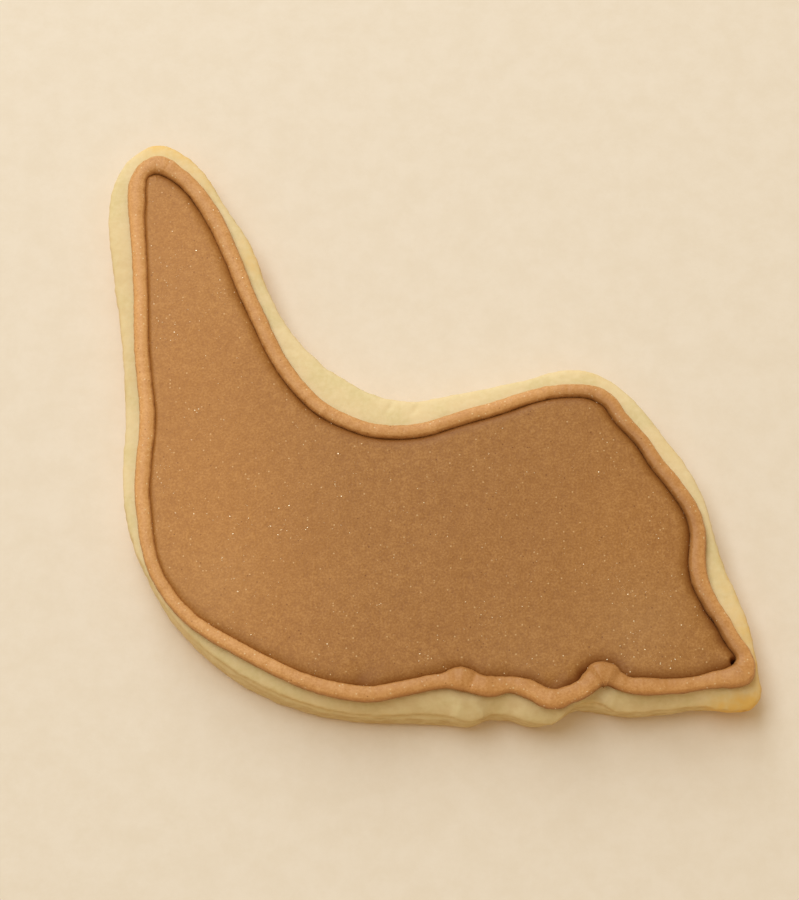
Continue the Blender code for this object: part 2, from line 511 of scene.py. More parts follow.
def crease_depth(x, y, creases):
    """How deep the creases are at a place, in millimetres."""
    total = 0.0
    for middle_x, middle_y, length, half_width, turn, depth in creases:
        offset = Vector((x / MM - middle_x, y / MM - middle_y))
        if offset.length > length:
            continue
        along = Vector((math.cos(math.radians(turn)), math.sin(math.radians(turn))))
        run = offset.dot(along) / (length / 2)
        off = offset.cross(along) / half_width
        total += depth * math.exp(-run * run - off * off)
    return total


def shape_dough(mesh):
    line = biscuit_rim(MEASURE_SPACING)
    rim = line_reader(line)
    nearness = np.clip(inward_normals(line)[:, 1], 0.0, 1.0) ** 5
    browned = np.zeros(len(mesh.vertices), np.float32)
    wall = np.zeros(len(mesh.vertices), np.float32)
    normals = [vertex.normal.copy() for vertex in mesh.vertices]
    for k, (vertex, normal) in enumerate(zip(mesh.vertices, normals)):
        place = vertex.co.copy()
        inside, nearest = rim(place.x, place.y)
        inside /= MM
        height = place.z / FACE
        upright = 1.0 - float(smoothstep(0.15, 0.7, abs(normal.z)))
        sag = RIM_SAG + NEAR_SAG * nearness[nearest]
        sag *= math.exp(-((max(inside, 0.0) / RIM_SAG_REACH) ** 2))
        sag += bump_at(place.x, place.y, THIN_SPOTS)
        sag += SWELL_HEIGHT * cloud_at(place, *SWELL)
        face_side = float(smoothstep(0.15, 0.95, height))
        if normal.z > 0.3:
            sag += crease_depth(place.x, place.y, CREASES)
        layers = cloud_at((place.x, place.y, place.z * 1.8), *LAYERS)
        crumb = cloud_at(place, *CRUMB)
        push = FACE_CRUMB * crumb + FACE_GRIT * cloud_at(place, *GRIT)
        push += upright * (WALL_LAYERS * layers + WALL_CRUMB * crumb)
        if place.z < FLAT_BASE:
            push = 0.0
        vertex.co = place + normal * push * MM
        vertex.co.z = max(vertex.co.z - sag * face_side * MM, 0.0)
        blotch = 0.5 + 0.5 * cloud_at(place, *BLOTCHES)
        rim_line = math.exp(-((inside / RIM_GOLD_REACH) ** 2)) * face_side * blotch
        base_line = math.exp(-height / BASE_GOLD_RISE) * (0.4 + 0.6 * blotch)
        near_band = math.exp(-((inside / NEAR_GOLD_REACH) ** 2)) * face_side
        # The near band adds painted shade to the browning
        spots = bump_at(place.x, place.y, BROWN_SPOTS) + NEAR_GOLD * nearness[nearest] * near_band
        browned[k] = min(RIM_GOLD * rim_line + BASE_GOLD * base_line + spots, 1.0)
        # Painted shade: the wall's colour goes most to walls facing the near side and the right, and to the
        # face's shade spots
        facing = float(smoothstep(0.0, 0.9, 0.5 * normal.x - 0.9 * normal.y))
        dull = bump_at(place.x, place.y, DULL_DOUGH) * face_side
        wall[k] = min(max(upright * (0.2 + 0.8 * facing), dull), 1.0)
    store(mesh, browned=browned, wall=wall)
    mesh.update()


shape_dough(dough_mesh)
print(f"The face's highest point is {max(v.co.z for v in dough_mesh.vertices) / MM:.2f} mm up")

# %% [markdown]
# ## The finish of the dough
# Pale baked dough is cream with faint greener clouds, floury grains well under a millimetre across, and
# gold where heat reached it first: the corner, the rim and the base. The gold follows the stored value, so
# it sits exactly on those places, and noise breaks up its border. The stored value also adds a little gold
# along the near margin that is painted shade, and the wall's duller colour is partly painted shade too.

# %% The dough's material
DOUGH_CREAM = srgb(236, 206, 153)
DOUGH_GREEN = srgb(225, 199, 142)
DOUGH_GOLD = srgb(236, 186, 98)
DOUGH_TOAST = srgb(190, 132, 64)
WALL_PALE = srgb(218, 190, 136)
WALL_DEEP = srgb(203, 168, 113)
FLOURY = srgb(246, 221, 172)


def baked_dough():
    material, tree, shader, where = new_material("baked_dough")
    clouds = step_up(tree, cloud(tree, where, 5 * MM, detail=2.0), 0.35, 0.68)
    flour = step_up(tree, cloud(tree, where, 0.7 * MM, detail=3.0), 0.3, 0.75)
    face = blend(tree, clouds, DOUGH_CREAM, DOUGH_GREEN)
    face = blend(tree, calculate(tree, "MULTIPLY", flour, 0.35), face, FLOURY)
    stretched = add(tree, "ShaderNodeMapping", {"Vector": where, "Scale": (1.0, 1.0, 2.0)}).outputs[0]
    layers = step_up(tree, cloud(tree, stretched, 2.2 * MM, detail=4.0), 0.35, 0.65)
    side = blend(tree, layers, WALL_PALE, WALL_DEEP)
    # The wall's own colour, and painted shade where the stored value puts it on near walls and on the face
    colour = blend(tree, stored(tree, "wall"), face, side)
    browned = stored(tree, "browned")
    uneven = calculate(tree, "MULTIPLY_ADD", cloud(tree, where, 1.3 * MM, detail=3.0), 1.6, -0.8)
    browned = calculate(tree, "ADD", browned, calculate(tree, "MULTIPLY", uneven, browned), clamp=True)
    colour = blend(tree, step_up(tree, browned, 0.0, 0.75), colour, DOUGH_GOLD)
    colour = blend(tree, step_up(tree, browned, 0.7, 1.15), colour, DOUGH_TOAST)
    cells = add(tree, "ShaderNodeTexVoronoi", {"Vector": where, "Scale": 1.0 / (1.1 * MM)})
    pores = step_up(tree, cells.outputs["Distance"], 0.10, 0.26)
    shade = calculate(tree, "MULTIPLY", calculate(tree, "SUBTRACT", 1.0, pores), 0.05)
    colour = blend(tree, shade, colour, DOUGH_TOAST)
    feed(tree, shader, {"Base Color": colour, "Roughness": 0.82, "Specular IOR Level": 0.25})
    crumb = cloud(tree, where, 0.45 * MM, detail=4.0, roughness=0.6)
    relief = calculate(tree, "MULTIPLY_ADD", pores, 0.3, crumb)
    add_relief(tree, shader, relief, 0.06 * MM, strength=0.45)
    return material


biscuit = into_object("biscuit_dough", dough_mesh, baked_dough())
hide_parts("biscuit")
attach(biscuit, "root")
print("The dough is dressed")

# %% [markdown]
# ## The grain that both icings share
# Sugar icing tinted with powder dries to a fine grain: paler and darker specks a few tenths of a
# millimetre wide, a rare dark pit whose darkness is painted shade, and a dust of lustre on top. Both
# icings have it in different strengths, so it is one node group, built once, that puts out a colour, a
# roughness and a height.
# What belongs to a place, such as painted light, painted shade in a groove, and dust with a painted sheen,
# is read from the mesh afterwards.

# %% Build the icing grain group
def icing_grain_group():
    """Grain and Clouding are strengths, Dust sets how many cells have a flake, Polish is the roughness."""
    group = bpy.data.node_groups.new("icing_grain", "ShaderNodeTree")
    sockets = group.interface
    for name in ("Middle tint", "Pale tint", "Deep tint", "Dust tint", "Pit tint"):
        sockets.new_socket(name, in_out="INPUT", socket_type="NodeSocketColor")
    for name in ("Grain", "Clouding", "Dust", "Polish"):
        sockets.new_socket(name, in_out="INPUT", socket_type="NodeSocketFloat")
    sockets.new_socket("Color", in_out="OUTPUT", socket_type="NodeSocketColor")
    for name in ("Roughness", "Height"):
        sockets.new_socket(name, in_out="OUTPUT", socket_type="NodeSocketFloat")
    given = add(group, "NodeGroupInput").outputs
    where = add(group, "ShaderNodeTexCoord").outputs["Object"]
    fine = cloud(group, where, 0.34 * MM, detail=3.0, roughness=0.7)
    coarse = cloud(group, where, 1.3 * MM, detail=2.0)
    broad = cloud(group, where, 14 * MM, detail=2.0)
    mixed = calculate(group, "MULTIPLY_ADD", coarse, 0.25, calculate(group, "MULTIPLY", fine, 0.75))
    pale = calculate(group, "MULTIPLY", step_up(group, mixed, 0.49, 0.62), given["Grain"])
    deep = calculate(group, "MULTIPLY", step_up(group, mixed, 0.50, 0.36), given["Grain"])
    colour = blend(group, pale, given["Middle tint"], given["Pale tint"])
    colour = blend(group, deep, colour, given["Deep tint"])
    clouds = calculate(group, "MULTIPLY", step_up(group, broad, 0.35, 0.65), given["Clouding"])
    colour = blend(group, clouds, colour, given["Deep tint"])
    cells = add(group, "ShaderNodeTexVoronoi", {"Vector": where, "Scale": 1.0 / (0.5 * MM)})
    draws = add(group, "ShaderNodeSeparateColor", {0: cells.outputs["Color"]}).outputs
    near = step_up(group, cells.outputs["Distance"], 0.34, 0.12)
    chosen = calculate(group, "LESS_THAN", draws[0], calculate(group, "MULTIPLY", given["Dust"], coarse))
    dust = calculate(group, "MULTIPLY", near, chosen)
    # Painted shade: a rare pit is only a dark dot, with no relief of its own
    pits = calculate(group, "MULTIPLY", near, calculate(group, "GREATER_THAN", draws[1], 0.97))
    colour = blend(group, pits, colour, given["Pit tint"])
    colour = blend(group, calculate(group, "MULTIPLY", dust, 0.75), colour, given["Dust tint"])
    shine = calculate(group, "MULTIPLY_ADD", dust, -0.15, given["Polish"])
    rough = calculate(group, "MULTIPLY_ADD", fine, 0.12, shine, clamp=True)
    add(group, "NodeGroupOutput", {"Color": colour, "Roughness": rough, "Height": mixed})
    return group


ICING_GRAIN = icing_grain_group()


def icing_material(name, tints, amounts, bump_depth, thin_tint, groove_tint):
    """An icing finish: tints and amounts for the shared grain, the depth of its relief, the painted light
    that is added where the mesh asks for it, and the tint of painted shade that it takes deep in a groove,
    where it is also duller, with more roughness. Where the mesh marks dust and sheen, it goes towards the
    tint of the dust, which is partly more dust and partly a painted sheen."""
    material, tree, shader, where = new_material(name)
    grain = add(tree, "ShaderNodeGroup", node_tree=ICING_GRAIN)
    feed(tree, grain, {**tints, **amounts})
    groove = stored(tree, "groove")
    # Painted light: a warm tint added where the mesh asks for it
    colour = blend(tree, stored(tree, "thin"), grain.outputs["Color"], thin_tint, "ADD")
    # The dust's paler tint: partly more dust and partly a painted sheen
    colour = blend(tree, stored(tree, "dusty"), colour, tints["Dust tint"])
    # Painted shade: the groove's darker tint
    colour = blend(tree, groove, colour, groove_tint)
    dull = calculate(tree, "MULTIPLY", groove, 0.9)
    rough = calculate(tree, "MAXIMUM", grain.outputs["Roughness"], dull)
    feed(tree, shader, {"Base Color": colour, "Roughness": rough, "Specular IOR Level": 0.25})
    add_relief(tree, shader, grain.outputs["Height"], bump_depth)
    return material


flood_finish = icing_material(
    "flood_icing",
    {
        "Middle tint": srgb(167, 111, 51), "Pale tint": srgb(191, 135, 73),
        "Deep tint": srgb(145, 90, 34), "Dust tint": srgb(222, 178, 122),
        "Pit tint": srgb(128, 76, 26),
    },
    {"Grain": 0.6, "Clouding": 0.12, "Dust": 0.09, "Polish": 0.44},
    0.08 * MM, (0.19, 0.08, 0.018, 1.0), srgb(122, 66, 14),
)
bead_finish = icing_material(
    "piped_icing",
    {
        "Middle tint": srgb(214, 152, 88), "Pale tint": srgb(235, 177, 112),
        "Deep tint": srgb(186, 122, 59), "Dust tint": srgb(242, 206, 152),
        "Pit tint": srgb(168, 106, 48),
    },
    {"Grain": 0.5, "Clouding": 0.2, "Dust": 0.24, "Polish": 0.40},
    0.07 * MM, (0.13, 0.075, 0.03, 1.0), srgb(138, 82, 28),
)
print(f"The grain group has {len(ICING_GRAIN.nodes)} nodes")

# %% [markdown]
# ## The piped bead
# A piped line is a round section carried along a path, so Geometry Nodes make it: the path is a curve whose
# radius is the bead's half width, an arc with a flat foot is the section, and Curve to Mesh sweeps it. The
# icing slumps as it lands, so a wide stretch spreads more than it rises: its height follows the square
# root of its width. Noise then gives the small waves of an unsteady hand.

# %% The path of the bead, in millimetres: x, y and half width
PIPED_LINE = (
    (-42.3, 42.8, 1.58), (-44.0, 42.2, 1.46), (-45.1, 40.9, 1.34), (-45.6, 38.5, 1.50),
    (-45.5, 36.2, 1.55), (-45.3, 32.7, 1.30), (-44.8, 27.7, 1.24), (-44.15, 19.4, 1.21),
    (-43.7, 11.2, 1.21), (-43.0, 5.0, 1.21), (-42.3, -1.2, 1.28), (-42.6, -9.3, 1.26),
    (-42.5, -14.3, 1.21), (-38.5, -28.5, 1.02), (-26.2, -38.2, 1.06), (-9.1, -44.4, 1.22),
    (-3.6, -43.65, 1.18), (2.3, -42.45, 1.15),
    (5.5, -42.2, 1.80), (8.3, -43.1, 1.55), (9.6, -43.3, 1.57), (12.6, -43.0, 1.20),
    (15.2, -43.6, 1.41), (18.7, -45.2, 1.50), (21.6, -44.4, 1.36), (23.4, -43.5, 1.38),
    (24.7, -42.3, 1.6), (25.7, -41.6, 2.0), (27.2, -41.6, 1.80), (28.4, -42.3, 1.36),
    (29.7, -42.95, 1.25), (32.2, -43.25, 1.32), (37.5, -43.15, 1.14), (40.5, -42.7, 1.10),
    (43.5, -42.1, 1.36), (45.3, -41.9, 1.66), (46.7, -41.3, 1.9), (47.2, -40.2, 1.6),
    (47.1, -38.6, 1.22), (45.7, -36.2, 1.20), (44.2, -33.2, 1.18), (42.7, -30.7, 1.22),
    (41.15, -26.5, 1.32), (41.0, -17.5, 1.21), (38.2, -12.0, 1.21), (35.6, -8.35, 1.16),
    (33.3, -4.5, 1.12), (30.5, -1.1, 1.15), (28.0, 2.4, 1.18), (23.1, 3.7, 1.08),
    (8.7, 0.0, 1.16), (-3.6, -3.2, 1.13), (-12.0, -1.4, 1.15), (-18.9, 3.9, 1.20),
    (-27.1, 19.0, 1.24), (-30.0, 26.2, 1.30), (-33.1, 33.2, 1.37),
    (-34.9, 36.2, 1.37), (-36.8, 38.8, 1.33), (-39.2, 41.1, 1.34), (-40.7, 42.2, 1.50),
)
PATH_SPACING = 0.2 * MM
BEAD_SINK = 0.2 * MM
BEAD_SIZES = {
    "Foot height": FACE - BEAD_SINK,
    "Usual half width": 1.2 * MM,
    "Usual height": 2.15 * MM,
    "Undercut": math.radians(50.0),
    "Sides": 30,
    "Wobble": 0.07 * MM,
    "Wobble length": 3.0 * MM,
    "Ripple": 0.03 * MM,
}


def new_geometry_tree(name, sockets):
    """A Geometry Nodes tree with a geometry in and out and the named inputs."""
    tree = bpy.data.node_groups.new(name, "GeometryNodeTree")
    tree.interface.new_socket("Geometry", in_out="INPUT", socket_type="NodeSocketGeometry")
    tree.interface.new_socket("Geometry", in_out="OUTPUT", socket_type="NodeSocketGeometry")
    for socket_name, kind in sockets.items():
        tree.interface.new_socket(socket_name, in_out="INPUT", socket_type="NodeSocket" + kind)
    return tree, add(tree, "NodeGroupInput").outputs


def set_inputs(modifier, values):
    """Sets the tree's inputs on the modifier by each socket's identifier, found from its name."""
    for socket in modifier.node_group.interface.items_tree:
        if socket.in_out == "INPUT" and socket.name in values:
            modifier[socket.identifier] = values[socket.name]


def put_out(tree, geometry, material):
    """The end of every tree: instances made real, the material set, and the result put out."""
    real = add(tree, "GeometryNodeRealizeInstances", {"Geometry": geometry}).outputs[0]
    dressed = add(tree, "GeometryNodeSetMaterial", {"Geometry": real, "Material": material}).outputs[0]
    add(tree, "NodeGroupOutput", {0: dressed})


def round_noise(tree, size, amount, shift):
    """A vector of noise, from minus to plus half the amount, that can push points about."""
    where = add(tree, "GeometryNodeInputPosition").outputs[0]
    moved = add(tree, "ShaderNodeVectorMath", {0: where, 1: shift}, operation="ADD").outputs[0]
    scale = calculate(tree, "DIVIDE", 1.0, size)
    colour = add(tree, "ShaderNodeTexNoise", {"Vector": moved, "Scale": scale}).outputs["Color"]
    centred = add(tree, "ShaderNodeVectorMath", {0: colour, 1: (0.5, 0.5, 0.5)}, operation="SUBTRACT")
    scaled = add(tree, "ShaderNodeVectorMath", {0: centred.outputs[0], "Scale": amount}, operation="SCALE")
    return scaled.outputs[0]


def bead_tree():
    kinds = {name: "Float" for name in BEAD_SIZES}
    kinds["Sides"] = "Int"
    tree, given = new_geometry_tree("piped_bead", {**kinds, "Material": "Material"})
    wave = round_noise(tree, given["Wobble length"], given["Wobble"], (0.3, 0.1, 0.7))
    path = add(tree, "GeometryNodeSetPosition", {"Geometry": given["Geometry"], "Offset": wave})
    upright = add(tree, "GeometryNodeSetCurveNormal", {0: path.outputs[0]}, mode="Z_UP").outputs[0]
    half_width = add(tree, "GeometryNodeInputRadius").outputs[0]
    kept = add(
        tree, "GeometryNodeStoreNamedAttribute",
        {"Geometry": upright, "Name": "half_width", "Value": half_width}, data_type="FLOAT", domain="POINT",
    ).outputs[0]
    sweep = calculate(tree, "MULTIPLY_ADD", given["Undercut"], 2.0, math.pi)
    start = calculate(tree, "MULTIPLY", given["Undercut"], -1.0)
    arc = add(
        tree, "GeometryNodeCurveArc",
        {"Resolution": given["Sides"], "Radius": 1.0, "Start Angle": start, "Sweep Angle": sweep},
    ).outputs["Curve"]
    section = add(tree, "GeometryNodeSetSplineCyclic", {"Geometry": arc, "Cyclic": True}).outputs[0]
    swept = add(
        tree, "GeometryNodeCurveToMesh", {"Curve": kept, "Profile Curve": section, "Scale": half_width}
    ).outputs[0]
    radius = add(
        tree, "GeometryNodeInputNamedAttribute", {"Name": "half_width"}, data_type="FLOAT"
    ).outputs[0]
    position = add(tree, "GeometryNodeInputPosition").outputs[0]
    spot = add(tree, "ShaderNodeSeparateXYZ", {0: position}).outputs
    foot = calculate(tree, "SINE", given["Undercut"])
    rise = calculate(tree, "ADD", calculate(tree, "DIVIDE", spot["Z"], radius), foot)
    share = calculate(tree, "DIVIDE", rise, calculate(tree, "ADD", foot, 1.0))
    spread = calculate(tree, "SQRT", calculate(tree, "DIVIDE", radius, given["Usual half width"]))
    height = calculate(tree, "MULTIPLY", share, calculate(tree, "MULTIPLY", spread, given["Usual height"]))
    level = calculate(tree, "ADD", height, given["Foot height"])
    place = add(tree, "ShaderNodeCombineXYZ", {"X": spot["X"], "Y": spot["Y"], "Z": level}).outputs[0]
    slumped = add(tree, "GeometryNodeSetPosition", {"Geometry": swept, "Position": place}).outputs[0]
    ripple_length = calculate(tree, "MULTIPLY", given["Wobble length"], 0.4)
    ripple = round_noise(tree, ripple_length, given["Ripple"], (0.9, 0.2, 0.4))
    rippled = add(tree, "GeometryNodeSetPosition", {"Geometry": slumped, "Offset": ripple}).outputs[0]
    put_out(tree, rippled, given["Material"])
    return tree


def path_curve(name, line):
    """A closed poly curve through the rows, whose radius is their third value."""
    curve = bpy.data.curves.new(name, "CURVE")
    curve.dimensions = "3D"
    spline = curve.splines.new("POLY")
    spline.points.add(len(line) - 1)
    spline.use_cyclic_u = True
    for point, (x, y, radius) in zip(spline.points, line):
        point.co = (x, y, 0.0, 1.0)
        point.radius = radius
    return new_object(name, curve)


# %% [markdown]
# ## The bead's lumps, folds and skin
# The bead also has pooled lumps, where the hand paused on the near edge and at the corner, and folds in
# the dried skin between them. They are swellings and creases added to the swept mesh, because they belong
# to places and not to the path's rule. The same pass gives the skin its fine crumpled grain. It also stores
# where painted light makes the bead paler, and painted shade: how dark each point is at its foot, on its
# flanks, on the side towards the flood and in a few spots that are also rougher.

# %% Pipe the bead
# Lumps and hollows: x, y, reach and height, in millimetres
BEAD_LUMPS = (
    (5.3, -41.8, 1.3, 0.35), (8.9, -43.6, 1.2, 0.25), (14.2, -42.9, 1.0, 0.12), (18.7, -45.2, 1.5, 0.12),
    (25.5, -41.1, 1.1, 0.35), (27.2, -41.4, 0.9, 0.2), (47.0, -42.2, 1.0, 0.2), (7.2, -42.1, 0.6, -0.35),
    (46.4, -41.2, 0.5, -0.12), (47.7, -41.5, 0.4, -0.1), (-43.6, 42.6, 1.2, 0.12),
    (-42.4, 41.7, 0.5, -0.2),
)
# Folds, given like the dough's creases
BEAD_CREASES = (
    (6.2, -42.8, 3.0, 0.28, -56.0, 0.5), (10.2, -42.3, 2.4, 0.25, 5.0, 0.25),
    (22.9, -42.6, 2.2, 0.22, 50.0, 0.2), (28.0, -41.6, 1.6, 0.25, -60.0, 0.3),
    (16.6, -44.0, 2.2, 0.2, -45.0, 0.12), (-41.2, 41.6, 1.4, 0.2, 80.0, 0.15),
    (46.0, -41.6, 1.6, 0.22, -70.0, 0.3), (47.4, -40.6, 1.4, 0.2, 20.0, 0.2),
)
# The skin's grain: the size of its blotches, and their height
SKIN_GRAIN = ((1.3 * MM, 0.07 * MM), (0.6 * MM, 0.05 * MM))
SKIN_SHIFT = 21.0
# Painted light, where the bead is paler: x, y, reach and share
THIN_BEAD = (
    (-45.3, 32.0, 7.0, 0.65), (-44.0, 18.0, 9.0, 0.9), (-43.0, 0.0, 9.0, 0.7), (-42.5, -14.0, 7.0, 0.5),
    (12.0, 1.5, 8.0, 0.5), (-33.0, -33.5, 7.0, 0.5), (-24.5, -39.0, 5.0, 0.3), (38.0, -43.5, 6.0, 0.2),
)
# Painted shade, where it is darker all over and also rougher: x, y, reach and share
DULL_BEAD = (
    (26.0, -41.5, 2.4, 0.18), (27.7, -43.3, 1.2, 0.25), (5.5, -42.3, 2.0, 0.08), (33.5, -3.5, 8.0, 0.1),
    (40.5, -16.0, 6.0, 0.08),
)
# Where the side towards the flood is darker than elsewhere
SHADED_BEAD = (
    (44.0, -33.0, 9.0, 0.5), (8.0, -43.0, 18.0, 0.3), (33.0, -42.8, 9.0, 0.3), (40.5, -16.0, 7.0, 0.4),
    (34.0, -4.0, 7.0, 0.4), (26.0, 3.5, 5.0, 0.3),
)
FLANK_SHADE = 0.7
INNER_SHADE = 0.2


def pipe_bead():
    line = even_line(PIPED_LINE, PATH_SPACING)
    read = line_reader(line)
    item = path_curve("bead_path", line)
    modifier = item.modifiers.new("bead", "NODES")
    modifier.node_group = bead_tree()
    set_inputs(modifier, {**BEAD_SIZES, "Material": bead_finish})
    mesh = plain_mesh(item)
    shape = bmesh.new()
    shape.from_mesh(mesh)
    bmesh.ops.recalc_face_normals(shape, faces=shape.faces)
    shape.to_mesh(mesh)
    shape.free()
    normals = [vertex.normal.copy() for vertex in mesh.vertices]
    groove = np.zeros(len(mesh.vertices), np.float32)
    thin = np.zeros(len(mesh.vertices), np.float32)
    for k, (vertex, normal) in enumerate(zip(mesh.vertices, normals)):
        place = vertex.co.copy()
        rise = max((place.z - BEAD_SIZES["Foot height"]) / BEAD_SIZES["Usual height"], 0.0)
        lump = bump_at(place.x, place.y, BEAD_LUMPS) - crease_depth(place.x, place.y, BEAD_CREASES)
        grain = sum(height * cloud_at(place, size, SKIN_SHIFT) for size, height in SKIN_GRAIN)
        vertex.co = place + normal * grain
        vertex.co.z += lump * rise * MM
        # Painted shade: at the foot, on the flanks, on the side towards the flood and in the shade spots
        foot = 1.0 - float(smoothstep(0.15, 0.65, rise))
        flank = FLANK_SHADE * (1.0 - float(smoothstep(-0.1, 0.75, normal.z)))
        inside, nearest = read(place.x, place.y)
        inner = INNER_SHADE + bump_at(place.x, place.y, SHADED_BEAD)
        inner *= float(smoothstep(0.05, 0.95, inside / line[nearest, 2]))
        groove[k] = min(max(foot, flank, inner) + bump_at(place.x, place.y, DULL_BEAD), 1.0)
        thin[k] = bump_at(place.x, place.y, THIN_BEAD)
    store(mesh, groove=groove, thin=thin)
    return mesh


bead_mesh = pipe_bead()
bead = into_object("piped_bead", bead_mesh, bead_finish)
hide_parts("piped_outline")
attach(bead, "root")
print(f"The bead has {len(bead_mesh.polygons)} faces")

# %% [markdown]
# ## The flooded icing
# Runny icing finds its own level and its skin rolls down where it ends. It was pushed towards the lower
# left, so it meets the bead nearly level there, and at the upper right it sinks almost to the dough before
# it reaches the bead, which leaves the dark groove. Its rim is tucked under the bead's overhang. Distance
# from the bead rules its height, so it is made as a height field: points in rows that follow the rim
# closely, then an even grid inside, joined by a Delaunay triangulation.
# The same distance sets the painted shade in the groove, and soft spots say where painted light makes the
# icing paler, and where more of the lustre dust lies on it, with a paler tint that is partly a painted
# sheen.

# %% How the flood ends at its rim
FLOOD_LEVEL = FLOOD_TOP - 0.05 * MM
FLOOD_BASE = FACE - 1.3 * MM
TUCK = 0.45 * MM
ROLL_SHORT = 0.6 * MM
ROLL_LONG = 1.8 * MM
DROP_SHALLOW = 0.65 * MM
DROP_DEEP = 1.45 * MM
GROOVE_SHARE = 0.6
FLOOD_DOME = 0.15 * MM
RIM_SPACING = 0.3 * MM
ROWS_INSIDE = (0.12, 0.26, 0.4, 0.52, 0.66, 0.82, 1.0, 1.2, 1.45, 1.75, 2.1, 2.5)
GRID_SPACING = 0.42 * MM
PIT_RINGS = (0.0, 0.12, 0.24, 0.38, 0.54, 0.72)
PIT_POINTS = 14
PIT_MARGIN = 0.03 * MM
RIM_READINGS = 5
# Dips and the pit in the corner: x, y, reach and depth, in millimetres
FLOOD_DIPS = (
    (-9.4, -42.0, 1.8, 0.30), (19.0, -42.9, 1.5, 0.35), (22.9, -41.7, 1.3, 0.5), (12.6, -41.3, 1.6, 0.20),
    (39.2, -40.2, 2.5, 0.15), (42.3, -33.2, 2.2, 0.25), (43.7, -36.8, 1.8, 0.25), (*PIT, 0.42, 2.3),
)
# Painted shade, as dark as in the groove, at the dips and in the pit: x, y, reach and share
DARK_SPOTS = (
    (-9.4, -42.0, 1.5, 0.3), (23.2, -41.5, 1.2, 0.6), (21.3, -42.6, 1.4, 0.3), (41.6, -31.8, 1.1, 0.25),
    (42.4, -34.0, 1.1, 0.3), (43.5, -36.5, 1.0, 0.3), (*PIT, 0.7, 1.0),
)
# Where the flood is full, so the groove and its painted shade fade: x, y, reach and share lost
FULL_STRETCHES = (
    (-30.5, 27.0, 9.0, 0.45), (-23.0, 12.0, 7.0, 0.4), (-36.0, -31.0, 10.0, 0.5),
    (-18.0, -42.0, 10.0, 0.4), (4.0, -43.0, 10.0, 0.35),
)
# Painted light, where the flood is paler: x, y, reach and share
THIN_ICING = (
    (-40.0, 33.0, 18.0, 0.45), (-38.0, 8.0, 20.0, 0.4), (-36.0, -14.0, 18.0, 0.35),
    (-28.0, -30.0, 15.0, 0.3), (31.0, -19.0, 9.0, 0.12),
)
# Where more dust lies, with a paler tint that is partly a painted sheen: x, y, reach and share
DUSTY_ICING = (
    (32.0, -34.5, 8.0, 0.09), (14.0, -38.5, 7.0, 0.05), (-31.0, -28.0, 7.0, 0.06), (-34.0, 22.0, 7.0, 0.03),
)


def flood_rim():
    """Rows of x, y, roll, drop and the groove's painted shade along the flood's rim."""
    path = even_line(PIPED_LINE, RIM_SPACING)
    inward = inward_normals(path)
    plan = path[:, :2] + inward * (path[:, 2] - TUCK)[:, None]
    kept = np.array([1.0 - min(bump_at(x, y, FULL_STRETCHES), 0.9) for x, y in plan])
    shyness = smoothstep(-0.5, 0.8, inward @ np.array((-0.6, -0.8)))
    nearness = smoothstep(0.3, 1.0, inward[:, 1])
    roll = ROLL_SHORT + (ROLL_LONG - ROLL_SHORT) * np.maximum(shyness, nearness)
    roll *= [1.0 + 0.3 * cloud_at((x, y, 0.0), 3 * MM, 2.0) for x, y in plan]
    drop = DROP_SHALLOW + (DROP_DEEP - DROP_SHALLOW) * shyness * kept
    return np.column_stack([plan, roll, drop, (0.6 + 0.15 * shyness) * kept])


def flood_height(place, off, roll, drop):
    """The icing's level: a quarter round that falls to the bead, a faint dome, a fine grain and dips."""
    share = min(max((off + TUCK / 3) / (roll + TUCK / 3), 0.0), 1.0)
    level = FLOOD_LEVEL - drop * (1.0 - math.sqrt(1.0 - (1.0 - share) ** 2))
    level += FLOOD_DOME * (1.0 - math.exp(-max(off, 0.0) / (5 * MM)))
    level += 0.05 * MM * cloud_at((*place, 0.0), 8 * MM, 4.0)
    level += 0.02 * MM * cloud_at((*place, 0.0), 1.5 * MM, 9.0)
    return level - bump_at(*place, FLOOD_DIPS) * MM


def points_inside(rim, read):
    """Rows of points along the rim at growing distances, rings in the pit, then an even triangular grid."""
    inward = inward_normals(rim)
    found = []
    for ring in PIT_RINGS:
        for turn in range(PIT_POINTS if ring else 1):
            angle = math.tau * (turn / PIT_POINTS + ring)
            place = (Vector(PIT) + ring * Vector((math.cos(angle), math.sin(angle)))) * MM
            if read(*place)[0] > PIT_MARGIN:
                found.append(place)
    for distance in ROWS_INSIDE:
        reach = distance * MM
        row = rim[:, :2] + inward * reach
        found += [place for place in row if read(*place)[0] > 0.96 * reach]
    low = rim[:, :2].min(axis=0)
    high = rim[:, :2].max(axis=0)
    rise = GRID_SPACING * math.sqrt(3.0) / 2.0
    deepest = ROWS_INSIDE[-1] * MM + GRID_SPACING / 2
    for j, y in enumerate(np.arange(low[1], high[1], rise)):
        for x in np.arange(low[0] + GRID_SPACING / 2 * (j % 2), high[0], GRID_SPACING):
            if read(x, y)[0] > deepest:
                found.append((x, y))
    return found


def in_fixed_order(faces):
    """The triangles in an order that is the same each run, which the triangulation's own order is not."""
    turned = []
    for face in faces:
        first = face.index(min(face))
        turned.append(face[first:] + face[:first])
    return sorted(turned)


